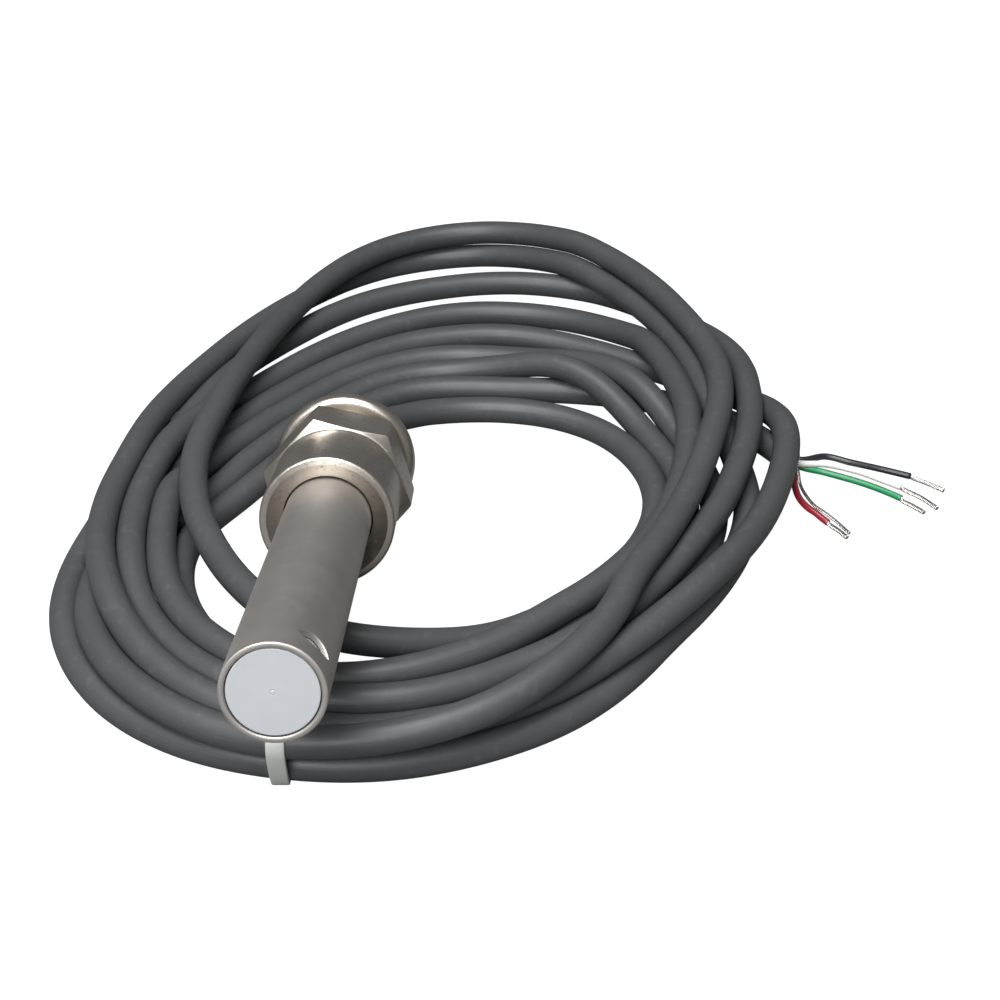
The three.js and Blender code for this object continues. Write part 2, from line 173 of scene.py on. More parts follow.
def even_line(points, step):
    """The same line with its points a step apart along its length."""
    lengths = np.linalg.norm(np.diff(points, axis=0), axis=1)
    along = np.concatenate([[0], np.cumsum(lengths)])
    wanted = np.linspace(0, along[-1], int(round(along[-1] / step)) + 1)
    return np.stack([np.interp(wanted, along, points[:, k]) for k in range(3)], -1)


def smooth_line(points, step):
    """A smooth curve through given points: cubic between neighbours, in the square root of their
    distance."""
    points = np.asarray(points, float)
    knots = np.concatenate([[0], np.cumsum(np.sqrt(np.linalg.norm(np.diff(points, axis=0), axis=1)))])
    slope = np.gradient(points, knots, axis=0)
    per_point = 60
    wanted = np.linspace(0, knots[-1], per_point * len(points))
    i = np.clip(np.searchsorted(knots, wanted) - 1, 0, len(knots) - 2)
    span = (knots[i + 1] - knots[i])[:, None]
    t = ((wanted - knots[i]) / (knots[i + 1] - knots[i]))[:, None]
    curve = (2 * t ** 3 - 3 * t ** 2 + 1) * points[i] + (t ** 3 - 2 * t ** 2 + t) * span * slope[i]
    curve += (3 * t ** 2 - 2 * t ** 3) * points[i + 1] + (t ** 3 - t ** 2) * span * slope[i + 1]
    return even_line(curve, step)


def carried_frame(path):
    """Unit tangent and two unit normals along a path, the normals turned as little as possible from point to
    point."""
    tangent = np.gradient(path, axis=0)
    tangent /= np.linalg.norm(tangent, axis=1)[:, None]
    side = np.cross(tangent[0], (0.0, 0.0, 1.0))
    sides = []
    for direction in tangent:
        side = side - (side @ direction) * direction
        side = side / np.linalg.norm(side)
        sides.append(side)
    sides = np.array(sides)
    return tangent, sides, np.cross(tangent, sides)


def tube_grid(path, radius, around):
    """Points of a round tube: the path plus radius times (normal cos a + binormal sin a). The radius may
    vary."""
    _, side, lift = carried_frame(path)
    angle = np.linspace(0, 2 * np.pi, around, endpoint=False)[None, :, None]
    radius = np.broadcast_to(np.asarray(radius, float).reshape(-1, 1, 1), (len(path), 1, 1))
    return path[:, None] + radius * (side[:, None] * np.cos(angle) + lift[:, None] * np.sin(angle))


def tube_piece(name, path, radius, around, material, body, replaces=()):
    """A tube with both ends closed by flat discs with a small eased edge, and (around, metres along) as its
    UV."""
    radius = np.broadcast_to(np.asarray(radius, float), len(path)).copy()
    tangent = np.gradient(path, axis=0)
    tangent /= np.linalg.norm(tangent, axis=1)[:, None]
    ease = 0.12 * radius[0]
    ends = [path[:1] - tangent[:1] * ease, path, path[-1:] + tangent[-1:] * ease]
    radii = [radius[:1] - ease, radius, radius[-1:] - ease]
    rings = tube_grid(np.concatenate(ends), np.concatenate(radii), around)
    rows = len(rings)
    faces = grid_faces(rows, around, False, True)[:, ::-1].tolist()
    faces.append(list(range(around)))
    faces.append(list(range((rows - 1) * around, rows * around))[::-1])
    along = np.concatenate([[0], np.cumsum(np.linalg.norm(np.diff(rings[:, 0], axis=0), axis=1))])
    turn = np.linspace(0, 1, around, endpoint=False)
    uv = np.stack(np.broadcast_arrays(turn[None, :], along[:, None]), -1)
    return make_piece(name, rings, faces, material, body, uv=uv, replaces=replaces, outward=True)


# ---- shader maths ----
class Wire:
    """A shader socket that can be added, subtracted, multiplied and mixed; an operator adds its Math node."""

    def __init__(self, tree, socket):
        self.tree = tree
        self.socket = socket

    def node(self, kind, settings=None, inputs=None, output=0):
        """Any other node: its settings first, then its sockets' values or links."""
        made = self.tree.nodes.new(kind)
        for key, value in (settings or {}).items():
            setattr(made, key, value)
        for key, value in (inputs or {}).items():
            if isinstance(value, Wire):
                self.tree.links.new(value.socket, made.inputs[key])
            else:
                made.inputs[key].default_value = value
        return Wire(self.tree, made.outputs[output])

    def math(self, operation, first, second):
        return self.node("ShaderNodeMath", {"operation": operation}, {0: first, 1: second})

    def __add__(self, other):
        return self.math("ADD", self, other)

    def __rsub__(self, other):
        return self.math("SUBTRACT", other, self)

    def __mul__(self, other):
        return self.math("MULTIPLY", self, other)

    __radd__ = __add__
    __rmul__ = __mul__

    def clipped(self, low, high):
        """0 below low, 1 above high, and smooth between."""
        settings = {"interpolation_type": "SMOOTHSTEP"}
        return self.node("ShaderNodeMapRange", settings, {"Value": self, "From Min": low, "From Max": high})

    def blend(self, low, high):
        """A colour between two colours, with this as the share of the second."""
        settings = {"data_type": "RGBA", "clamp_factor": True}
        inputs = {0: self}
        for key, value in ((6, low), (7, high)):
            inputs[key] = value if isinstance(value, Wire) else (*value, 1)
        return self.node("ShaderNodeMix", settings, inputs, 2)

    def noise(self, scale, detail=2.0, rough=0.5, stretch=(1, 1, 1)):
        """Noise of about 0 to 1, where self is the coordinates; stretch scales them first."""
        place = self.node("ShaderNodeMapping", {}, {"Vector": self, "Scale": stretch})
        inputs = {"Vector": place, "Scale": scale, "Detail": detail, "Roughness": rough}
        return self.node("ShaderNodeTexNoise", {}, inputs)

    def spots(self, scale, size):
        """1 inside scattered round spots, where self is the coordinates."""
        cells = self.node("ShaderNodeTexVoronoi", {}, {"Vector": self, "Scale": scale})
        return 1 - cells.clipped(0.6 * size, size)

    def along(self, direction):
        """The coordinates' distance along a direction."""
        settings = {"operation": "DOT_PRODUCT"}
        return self.node("ShaderNodeVectorMath", settings, {0: self, 1: tuple(direction)}, "Value")

    def lines(self, scale, detail=3.0):
        """Noise along one number, as fine parallel lines."""
        inputs = {"W": self * scale, "Scale": 1.0, "Detail": detail, "Roughness": 0.6}
        return self.node("ShaderNodeTexNoise", {"noise_dimensions": "1D"}, inputs)


class Finish:
    """A material with one Principled shader, its object coordinates and its UV."""

    def __init__(self, name, **constant):
        self.material = bpy.data.materials.new(name)
        self.material.use_nodes = True
        tree = self.material.node_tree
        self.shader = tree.nodes["Principled BSDF"]
        coordinates = tree.nodes.new("ShaderNodeTexCoord")
        self.place = Wire(tree, coordinates.outputs["Object"])
        self.uv = Wire(tree, coordinates.outputs["UV"])
        for key, value in constant.items():
            self.set(key.replace("_", " "), value)

    def set(self, socket, value):
        target = self.shader.inputs[socket]
        if isinstance(value, Wire):
            value.tree.links.new(value.socket, target)
        else:
            target.default_value = (*value, 1) if target.type == "RGBA" else value

    def bump(self, height, depth):
        """Relief of the given depth in metres."""
        inputs = {"Height": height, "Distance": depth, "Strength": 1.0}
        self.set("Normal", height.node("ShaderNodeBump", {}, inputs))


def jacket_grey():
    """Extruded PVC: satin grey, with faint handling marks, an orange-peel skin and die lines along it."""
    skin = Finish("jacket_grey", Specular_IOR_Level=0.42)
    patches = skin.place.noise(45, 3)
    rubs = skin.place.noise(420, 4, 0.65).clipped(0.52, 0.8)
    tone = patches.blend((0.042, 0.044, 0.047), (0.062, 0.064, 0.067))
    skin.set("Base Color", (rubs * 0.25).blend(tone, (0.13, 0.13, 0.13)))
    skin.set("Roughness", skin.place.noise(160, 3) * 0.16 + rubs * 0.08 + 0.38)
    peel = skin.place.noise(2600, 3, 0.6)
    die_lines = skin.uv.noise(1.0, 2, 0.5, (46, 9, 1))
    skin.bump(peel * 0.5 + die_lines * 0.7, 0.00006)
    return skin.material


def satin_steel():
    """Bead-blasted stainless tube: soft clouds, rubbed marks, a fine grain and turning lines round it."""
    skin = Finish("satin_steel", Metallic=1.0)
    cloud = skin.place.noise(70, 4, 0.6)
    rubs = skin.place.noise(300, 5, 0.7).clipped(0.5, 0.75)
    tone = cloud.blend((0.43, 0.41, 0.39), (0.51, 0.49, 0.47))
    skin.set("Base Color", (rubs * 0.35).blend(tone, (0.35, 0.335, 0.32)))
    skin.set("Roughness", cloud * 0.1 + rubs * 0.06 + 0.46)
    grain = skin.place.noise(5200, 3, 0.7)
    lines = skin.place.along(AXIS).lines(5200)
    skin.bump(grain * 0.6 + lines * 0.4, 0.000012)
    return skin.material


def nickel():
    """Nickel-plated brass: warm and polished, with turning lines, small dark scuffs and dulled patches."""
    skin = Finish("nickel", Metallic=1.0)
    cloud = skin.place.noise(110, 4, 0.6)
    scuffs = skin.place.noise(650, 6, 0.72).clipped(0.54, 0.68)
    pits = skin.place.spots(520, 0.16)
    tone = cloud.blend((0.60, 0.545, 0.485), (0.68, 0.635, 0.575))
    skin.set("Base Color", (scuffs * 0.65 + pits * 0.35).blend(tone, (0.22, 0.195, 0.17)))
    skin.set("Roughness", cloud * 0.12 + scuffs * 0.2 + 0.24)
    lines = skin.place.along(AXIS).lines(7000)
    dents = skin.place.noise(900, 3)
    skin.bump(lines * 0.35 + dents * 0.5 + pits * -0.6, 0.000016)
    return skin.material


def brass():
    """Plain machined brass of the parts inside the fitting."""
    skin = Finish("brass", Metallic=1.0)
    cloud = skin.place.noise(260, 4, 0.6)
    skin.set("Base Color", cloud.blend((0.50, 0.34, 0.12), (0.66, 0.48, 0.20)))
    skin.set("Roughness", cloud * 0.2 + 0.22)
    skin.bump(skin.place.along(AXIS).lines(6000), 0.00001)
    return skin.material


def white_plastic():
    """Moulded white acetal, faintly blue, with a very fine spark-eroded texture."""
    skin = Finish("white_plastic", Subsurface_Weight=0.2, Subsurface_Scale=0.002, Subsurface_Radius=(1, 1, 1))
    cloud = skin.place.noise(160, 3)
    skin.set("Base Color", cloud.blend((0.35, 0.365, 0.385), (0.385, 0.40, 0.42)))
    skin.set("Roughness", cloud * 0.1 + 0.36)
    skin.bump(skin.place.noise(4200, 2), 0.00001)
    return skin.material


def moulded(name, low, high, rough, grain, depth):
    """A plain moulded or cast surface: two tones in soft clouds and a fine grain."""
    skin = Finish(name)
    cloud = skin.place.noise(220, 4, 0.6)
    skin.set("Base Color", cloud.blend(low, high))
    skin.set("Roughness", cloud * 0.12 + rough)
    skin.bump(skin.place.noise(grain, 3, 0.6), depth)
    return skin.material


def board_green():
    """Solder-masked board: green lacquer with darker tracks beneath it."""
    skin = Finish("board_green", Coat_Roughness=0.2)
    weave = skin.place.noise(1500, 2, 0.5, (1, 6, 1))
    skin.set("Base Color", weave.clipped(0.42, 0.56).blend((0.008, 0.072, 0.026), (0.02, 0.15, 0.055)))
    skin.set("Roughness", weave * 0.15 + 0.25)
    skin.bump(weave, 0.00002)
    return skin.material


def wound_copper():
    """Enamelled copper: fine windings side by side along the axis."""
    skin = Finish("wound_copper", Metallic=1.0)
    winding = skin.place.along(AXIS).lines(9000)
    skin.set("Base Color", winding.blend((0.42, 0.17, 0.07), (0.72, 0.33, 0.15)))
    skin.set("Roughness", winding * 0.2 + 0.25)
    skin.bump(winding, 0.00003)
    return skin.material


def nylon():
    """Natural nylon of the tie: milky, half clear, with moulding flow marks."""
    skin = Finish("nylon", Transmission_Weight=0.3, IOR=1.5)
    flow = skin.place.noise(500, 3, 0.5, (1, 4, 4))
    skin.set("Base Color", flow.blend((0.56, 0.575, 0.56), (0.68, 0.695, 0.68)))
    skin.set("Roughness", flow * 0.15 + 0.28)
    skin.bump(flow + skin.place.noise(2500, 2) * 0.4, 0.00002)
    return skin.material


def insulation(name, low, high):
    """Thin coloured PVC over a core: glossy, with faint lines drawn along it."""
    skin = Finish(name, Specular_IOR_Level=0.5)
    cloud = skin.place.noise(300, 3)
    skin.set("Base Color", cloud.blend(low, high))
    skin.set("Roughness", cloud * 0.12 + 0.28)
    skin.bump(skin.uv.noise(1.0, 2, 0.5, (18, 120, 1)), 0.00003)
    return skin.material


def tin():
    """Tinned copper: bright grey with dull and dark places between the strands."""
    skin = Finish("tin", Metallic=1.0)
    cloud = skin.place.noise(900, 4, 0.6)
    skin.set("Base Color", cloud.blend((0.36, 0.36, 0.35), (0.66, 0.65, 0.63)))
    skin.set("Roughness", cloud * 0.2 + 0.22)
    skin.bump(skin.place.noise(3000, 2), 0.00002)
    return skin.material


JACKET = jacket_grey()
STEEL = satin_steel()
NICKEL = nickel()
BRASS = brass()
WHITE = white_plastic()
NYLON = nylon()
TIN = tin()
COPPER = wound_copper()
BOARD = board_green()
FERRITE = moulded("ferrite", (0.030, 0.029, 0.028), (0.052, 0.050, 0.048), 0.55, 2600, 0.00004)
DARK_PLASTIC = moulded("dark_plastic", (0.016, 0.017, 0.018), (0.030, 0.031, 0.033), 0.42, 3400, 0.00002)
RUBBER = moulded("rubber", (0.014, 0.014, 0.015), (0.026, 0.026, 0.027), 0.55, 2800, 0.00003)
CORE_COLOURS = {
    "black": insulation("core_black", (0.010, 0.011, 0.014), (0.020, 0.022, 0.026)),
    "white": insulation("core_white", (0.72, 0.72, 0.70), (0.82, 0.82, 0.80)),
    "green": insulation("core_green", (0.010, 0.175, 0.062), (0.018, 0.245, 0.095)),
    "red": insulation("core_red", (0.19, 0.010, 0.022), (0.27, 0.018, 0.032)),
}

# ---- the cable: one line from the crimp inside the barrel, out of the grommet and round the coil ----
CABLE_EXIT = (0.00033, 0.0655, 0.01165)
LEAD = np.array([
    CABLE_EXIT,
    (0.0004, 0.0686, 0.01075),
    (0.0018, 0.0755, 0.0088),
    (0.0054, 0.0816, 0.007),
    (0.0106, 0.0862, 0.0055),
])
COIL_MIDDLE = np.array([0.022, 0.050])

# Each turn starts at the back and runs clockwise seen from above. A station is (degrees clockwise from the
# back, distance from the coil's middle, height of the cable's middle), and one without a height lies on the
# floor. The distances were measured strand by strand with a separate program and then adjusted, so that the
# turns swap lanes as the real ones do.
TURNS = [
    [(-8, 40.3, 4.6), (1, 42.3, 3.7), (10, 44), (19, 45.3), (34, 48.4), (52, 51.2), (76, 52),
     (90, 50), (105, 47.5), (120, 45.5), (150, 45), (168, 48, 4.5), (180, 52, 8), (190, 56, 11),
     (198, 59, 13), (204, 60.3, 14.2), (211, 60, 14.7), (221, 58, 14.7), (233, 56, 14.2),
     (244, 55, 14), (265, 55.8, 14.5), (286, 58.4, 14.8), (297, 60.5, 14.8), (310, 67.3, 14),
     (321, 75.8, 13), (333, 91, 11.5), (340, 103, 11), (346, 114, 11), (353, 122.6, 11)],
    [(0, 126.8, 10.8), (6, 127, 11.8), (14, 119.5, 13.8), (22, 111, 14.8), (31, 102, 15),
     (38, 94.5, 15), (47, 86.5, 15), (54, 81.5, 15), (61, 76, 15), (69, 69.8, 15), (77, 63.6, 15),
     (91, 57.6, 14.8), (107, 54.5, 14.7), (120, 54.5, 14.7), (134, 56.5, 14.8), (148, 65, 14.8),
     (161, 72.9, 14.6), (170, 79, 14.4), (180, 83.5, 13.5), (190, 86.3, 12), (200, 88, 10.5),
     (212, 88.5, 9.7), (225, 86.6, 9), (233, 84.6, 8.3), (242, 81, 6.8), (253, 75.5, 4.8),
     (265, 70.5), (278, 69), (291, 65), (303, 62.5), (322, 64.5), (337, 70), (349, 76)],
    [(0, 79.5), (10, 82.2), (21, 82), (30, 81.5), (42, 83), (52, 85.5, 4.5), (60, 87, 7.5),
     (67, 87, 9.6), (72, 86, 9.8), (78, 82.8, 9.6), (85, 78.3, 9.3), (95, 73.8, 9.2),
     (107, 69.5, 9.5), (120, 66.2, 9.6), (134, 65.8, 9.6), (150, 68.5, 9), (165, 73.5, 8.9),
     (180, 77.5, 8.9), (190, 80, 9.2), (200, 82, 9.7), (211, 83.3, 9.5), (225, 82.3, 9.3),
     (240, 79.5, 10), (256, 75.6, 10), (270, 73.8, 9.5), (278, 73.2, 8.5), (287, 73.8, 7.5),
     (297, 76.8, 6), (308, 82.6, 5), (318, 89, 5), (334, 103.5, 4.5), (348, 120.3, 3.5)],
    [(0, 127, 3.5), (8, 123, 6.5), (16, 114.5, 9), (24, 106.5, 9.7), (34, 97, 9.5), (44, 87, 8.5),
     (55, 77, 9.7), (65, 74, 6.5), (78, 72.3), (92, 70.3), (107, 67.2), (120, 65.3), (134, 65),
     (150, 70), (161, 74), (173, 78.1), (186, 83.2), (203, 88), (210, 89.8), (218, 91.3),
     (228, 91.2), (239, 88), (248, 83.5), (258, 78.8), (270, 75), (279, 73.2), (289, 73.7),
     (300, 76), (309, 79.3), (318, 83.8), (332, 90.3), (346, 101.8)],
    [(0, 108.2), (7, 112), (15, 113), (21, 113.4), (28, 110.5), (36, 105.3, 4.5), (44, 99.5, 7.5),
     (50, 94.5, 9.8), (56, 90, 11), (61, 86, 10.8), (66, 82, 10), (72, 76.8, 9.6), (80, 70.5, 9.5),
     (90, 65.3, 9.4), (107, 59.5, 9.5), (120, 57.8, 9.6), (134, 58, 9.6), (150, 60.5, 9.2),
     (165, 63.5, 9.2), (177, 70, 10.6), (185, 74.5, 11.3), (192, 77, 11.3), (202, 78, 10.4),
     (211, 76.8, 9.3), (221, 75.8, 8.8), (230, 74.8, 8.3), (240, 73, 8), (250, 70.5, 8),
     (264, 67.5, 9), (275, 66.5, 9.3), (290, 67.5, 9), (303, 68.5, 6.5), (315, 70.7, 3.5),
     (330, 76.3), (339, 81.1), (350, 87)],
    [(0, 92.5), (9, 94), (18, 94.3), (26, 92, 3.6), (32, 87.5, 5), (41, 80, 7.5), (53, 71.7, 9.8),
     (65, 64.6, 10), (75, 59.3, 9.5), (90, 54, 9.3), (107, 50.3, 9), (120, 48.7, 8.9),
     (134, 48.7, 8.9), (150, 50, 9), (165, 55, 9.4), (177, 60, 9.8), (187, 65, 10.2),
     (195, 68.8, 10), (206, 71.8, 9), (220, 71.2, 7.5), (230, 70.3, 7), (241, 68.5, 6.6),
     (250, 66.3, 6.3), (261, 63.3, 5), (278, 59.5), (291, 58), (303, 57), (322, 58.5), (337, 63),
     (349, 67)],
    [(0, 69.5), (15, 69, 4), (25, 68, 6), (34, 67.5, 9), (48, 66, 9), (60, 64.5, 5), (75, 62.8),
     (92, 62), (107, 60.5), (120, 58.8), (134, 58.5), (150, 62), (165, 67.5), (180, 73.5), (195, 79),
     (210, 84), (225, 86.5), (240, 81.5), (252, 73), (262, 66), (278, 53), (291, 51.5), (303, 50.5),
     (322, 52), (337, 57), (349, 60.5)],
    [(0, 61), (15, 60.5, 6), (24, 60.5, 9), (38, 60, 9), (50, 58.5, 5), (62, 57), (75, 56.5),
     (92, 55.8), (107, 54), (120, 52.3), (134, 52), (150, 52.5), (165, 57), (180, 62.5), (195, 68),
     (210, 69.5), (225, 68), (235, 66.8), (245, 64.3), (260, 58.5), (278, 48.5), (291, 45),
     (303, 44), (322, 46), (337, 50.5), (349, 53)],
    [(0, 53.5), (15, 54.5), (30, 60), (42, 66.5), (52, 72.8), (60, 78), (67, 81.8), (72, 84),
     (76, 85.6)],
]
CABLE_STEP = 0.0033
# In degrees: the spread and the reach of the ease over the stations, and the step between the points kept.
STATION_EASE = 5.0
WIDEST_EASE = 30
DEGREES_APART = 6
SETTLE_ROUNDS = 700
# How many of the line's first points stay as laid, and how many may lie inside the spigot.
HELD_POINTS = 6
LEAD_POINTS = 14
# The sensor as round bars that the cable keeps off, each (from z, to z, radius) along its axis: the barrel,
# the nut, the room that the nut slides into, and the flange.
SENSOR_BARS = [(-48.5, 82.2, 9.0), (-31.0, 2.0, 15.2), (2.0, 14.5, 14.2), (-41.2, -36.3, 16.2)]


def laid_route():
    """The cable's line before it settles: the lead's points, then the turns. Distance and height are
    functions of the angle run through, straight between stations and then averaged with a bell-shaped
    weight."""
    stations = []
    for k, turn in enumerate(TURNS):
        for angle, reach, *rise in turn:
            stations.append((angle + 360 * k, reach, rise[0] if rise else CABLE_RADIUS))
    stations = np.array(stations)
    every_degree = np.arange(stations[0, 0], stations[-1, 0] + 0.5)
    offset = np.arange(-WIDEST_EASE, WIDEST_EASE + 1)
    weight = np.exp(-0.5 * (offset / STATION_EASE) ** 2)
    eased = []
    for column in (1, 2):
        value = np.interp(every_degree, stations[:, 0], stations[:, column])
        padded = np.pad(value, WIDEST_EASE, mode="reflect", reflect_type="odd")
        eased.append(np.convolve(padded, weight / weight.sum(), "valid")[::DEGREES_APART])
    reach, rise = eased
    turn = np.radians(every_degree)[::DEGREES_APART]
    flat = COIL_MIDDLE + reach[:, None] * MM * np.stack([np.sin(turn), np.cos(turn)], -1)
    return smooth_line(np.concatenate([LEAD, np.column_stack([flat, rise * MM])]), CABLE_STEP)


def settled(route):
    """The line pushed clear of itself, the floor and the sensor, round by round. Where two stretches are
    closer than a diameter each moves part of the way out; bends that this makes are eased towards those that
    were laid; each step keeps its length, and a light pull takes every point back towards its place."""
    count = len(route)
    radius = CABLE_DIAMETER * MM / 2
    clear = 1.003 * CABLE_DIAMETER * MM
    # A stretch isn't pushed by its own neighbours, within this many metres along the line.
    neighbours = 0.03
    sink = 3e-6
    push_share, spread_push, bar_share = 0.25, 1.6, 0.5
    bend_share, stretch_share, home_share = 0.35, 0.4, 0.004
    look_again = 20
    skip = int(round(neighbours / CABLE_STEP))
    step = np.linalg.norm(np.diff(route, axis=0), axis=1).mean()
    free = np.ones((count, 1))
    free[:HELD_POINTS] = 0
    line = route.copy()
    laid_bend = np.zeros_like(route)
    laid_bend[1:-1] = (route[:-2] + route[2:]) / 2 - route[1:-1]
    for turn in range(SETTLE_ROUNDS):
        if turn % look_again == 0:
            apart = ((line[:, None, :2] - line[None, :, :2]) ** 2).sum(-1)
            first, second = np.nonzero(np.triu(apart < (2 * clear) ** 2, skip))
            near = np.abs(line[first, 2] - line[second, 2]) < 2.2 * clear
            first, second = first[near], second[near]
        line[:, 2:] -= sink * free
        for point, other in ((first, second), (second, first)):
            start = line[np.clip(other - 1, 0, count - 1)]
            reach = line[np.clip(other + 1, 0, count - 1)] - start
            share = ((line[point] - start) * reach).sum(1) / np.maximum((reach * reach).sum(1), 1e-12)
            gap = line[point] - start - reach * np.clip(share, 0, 1)[:, None]
            distance = np.linalg.norm(gap, axis=1)
            touching = distance < clear
            push = gap[touching] * (push_share * (clear / np.maximum(distance[touching], 1e-9) - 1))[:, None]
            move = np.zeros_like(line)
            hits = np.zeros((count, 1))
            np.add.at(move, point[touching], push)
            np.add.at(move, other[touching], -push)
            np.add.at(hits, point[touching], 1)
            np.add.at(hits, other[touching], 1)
            line += spread_push * move / np.maximum(hits, 1) * free
        offset = line - CENTRE
        height = offset @ AXIS
        spoke = offset - height[:, None] * AXIS
        reach = np.linalg.norm(spoke, axis=1)
        for low, high, bar in SENSOR_BARS:
            beside = (height > low * MM - radius) & (height < high * MM + radius)
            inside = beside & (reach < bar * MM + radius)
            inside[:LEAD_POINTS] = False
            depth = bar * MM + radius - reach[inside]
            line[inside] += spoke[inside] / reach[inside, None] * (bar_share * depth)[:, None]
        bend = np.zeros_like(line)
        bend[1:-1] = (line[:-2] + line[2:]) / 2 - line[1:-1]
        line += bend_share * (bend - laid_bend) * free
        edge = np.diff(line, axis=0)
        length = np.linalg.norm(edge, axis=1)[:, None]
        stretch = stretch_share * edge / length * (length - step)
        shift = np.zeros_like(line)
        shift[:-1] += stretch
        shift[1:] -= stretch
        line += shift * free
        line += home_share * (route - line) * free
        line[HELD_POINTS:, 2] = np.maximum(line[HELD_POINTS:, 2], radius)
    return line


def finer(line, times):
    """Points added between a line's points on cubic curves through them."""
    slope = np.gradient(line, axis=0)
    wanted = np.linspace(0, len(line) - 1, (len(line) - 1) * times + 1)
    i = np.clip(wanted.astype(int), 0, len(line) - 2)
    t = (wanted - i)[:, None]
    curve = (2 * t ** 3 - 3 * t ** 2 + 1) * line[i] + (t ** 3 - 2 * t ** 2 + t) * slope[i]
    return curve + (3 * t ** 2 - 2 * t ** 3) * line[i + 1] + (t ** 3 - t ** 2) * slope[i + 1]


inside_barrel = on_axis(0, 0, np.linspace(CABLE_START_Z, CABLE_EXIT_Z + 0.8, 7))
coil_line = settled(laid_route())
cable_line = finer(np.concatenate([inside_barrel, coil_line]), 2)
cable = tube_piece("cable", cable_line, CABLE_RADIUS * MM, 24, JACKET, "sensor",
                   ("cable_entry", "cable_lead", "cable_coil"))

# ---- conductors at the cable's bare end: each core runs from inside the jacket to a tinned tip ----
JACKET_END = coil_line[-1]
JACKET_INSIDE = coil_line[-4]
CORE_ROUTES = {
    "black": [(0.1137, 0.0716, 0.0037), (0.1194, 0.0697, 0.0033), (0.1264, 0.0682, 0.0024),
              (0.1333, 0.066, 0.0018)],
    "white": [(0.1145, 0.07, 0.0024), (0.1215, 0.0675, 0.002), (0.126, 0.065, 0.0016),
              (0.1304, 0.0622, 0.0013)],
    "green": [(0.113, 0.0678, 0.0017), (0.1209, 0.0639, 0.0015), (0.1256, 0.061, 0.0013),
              (0.1296, 0.0578, 0.0012)],
    "red": [(0.1052, 0.0625, 0.0016), (0.1055, 0.0572, 0.0017), (0.107, 0.0528, 0.0019),
            (0.1084, 0.0511, 0.0018), (0.1096, 0.0497, 0.0014), (0.1109, 0.0482, 0.0011)],
}
TINNED_ROUTES = {
    "black": [(0.1336, 0.0658, 0.0016), (0.1372, 0.0639, 0.0011), (0.1406, 0.0616, 0.0007)],
    "white": [(0.1307, 0.062, 0.001), (0.1342, 0.0589, 0.0008), (0.1375, 0.0544, 0.0007)],
    "green": [(0.1298, 0.0575, 0.0008), (0.1318, 0.0555, 0.0007), (0.1341, 0.0527, 0.0007)],
    "red": [(0.1111, 0.0479, 0.0009), (0.1129, 0.0456, 0.0008), (0.1145, 0.043, 0.0007)],
}
DRAIN_ROUTE = [
    (0.1068, 0.0638, 0.0009), (0.1076, 0.059, 0.0009), (0.1089, 0.0552, 0.0009), (0.1106, 0.0528, 0.0009),
    (0.1128, 0.0498, 0.0006), (0.1154, 0.0449, 0.0005),
]
CORE_RADIUS = 0.8
TINNED_RADIUS = 0.55
DRAIN_RADIUS = 0.4
CORE_PLACES = {"black": (-0.9, 0.9), "white": (0.9, 0.9), "green": (-0.9, -0.9), "red": (0.9, -0.9)}
# Each conductor starts this far inside the jacket and runs straight until this far out of it.
CORE_HIDDEN = 0.008
CORE_STRAIGHT = 0.002
CORE_STEP = 0.0006
STRAND_STEP = 0.0003
STRANDS = 7
TIP_PITCH = 0.007
DRAIN_PITCH = 0.006


def stranded(name, path, radius, pitch, replaces):
    """Tinned strands twisted round a path: one follows the path, and each other one's middle is the path plus
    an offset that turns once every pitch."""
    sides = 8
    _, side, lift = carried_frame(path)
    along = np.concatenate([[0], np.cumsum(np.linalg.norm(np.diff(path, axis=0), axis=1))])
    strand_radius = radius / 3 * 1.08
    points, faces = [], []
    for k in range(STRANDS):
        offset = 0 if k == 0 else radius - strand_radius
        angle = (2 * np.pi * (k / (STRANDS - 1) + along / pitch))[:, None]
        middle = path + offset * (side * np.cos(angle) + lift * np.sin(angle))
        rings = tube_grid(middle, strand_radius, sides)
        base = len(points) * len(path) * sides
        faces.extend((grid_faces(len(path), sides, False, True)[:, ::-1] + base).tolist())
        faces.append([base + i for i in range(sides)])
        faces.append([base + (len(path) - 1) * sides + i for i in reversed(range(sides))])
        points.append(rings.reshape(-1, 3))
    return make_piece(name, np.concatenate(points), faces, TIN, "sensor", replaces=replaces,
                      outward=True)


heading = (JACKET_END - JACKET_INSIDE) / np.linalg.norm(JACKET_END - JACKET_INSIDE)
across = np.cross(heading, (0, 0, 1.0))
for colour, route in CORE_ROUTES.items():
    sideways, upward = CORE_PLACES[colour]
    offset = (across * sideways + np.array((0, 0, 1.0)) * upward) * MM
    inside = JACKET_END - heading * CORE_HIDDEN + offset
    mouth = JACKET_END + heading * CORE_STRAIGHT + offset
    core_line = smooth_line([inside, mouth, *route], CORE_STEP)
    core = tube_piece(f"core_wire_{colour}", core_line, CORE_RADIUS * MM, 16, CORE_COLOURS[colour], "sensor",
                      (f"core_{colour}",))
    tip_line = smooth_line([route[-2], route[-1], *TINNED_ROUTES[colour]], STRAND_STEP)
    tip_line = tip_line[np.linalg.norm(tip_line - np.array(route[-1]), axis=1).argmin() - 3:]
    tip = stranded(f"tinned_tip_{colour}", tip_line, TINNED_RADIUS * MM, TIP_PITCH, (f"tinned_end_{colour}",))
drain_ends = [JACKET_END - heading * CORE_HIDDEN, JACKET_END + heading * CORE_STRAIGHT]
drain_line = smooth_line([*drain_ends, *DRAIN_ROUTE], STRAND_STEP)
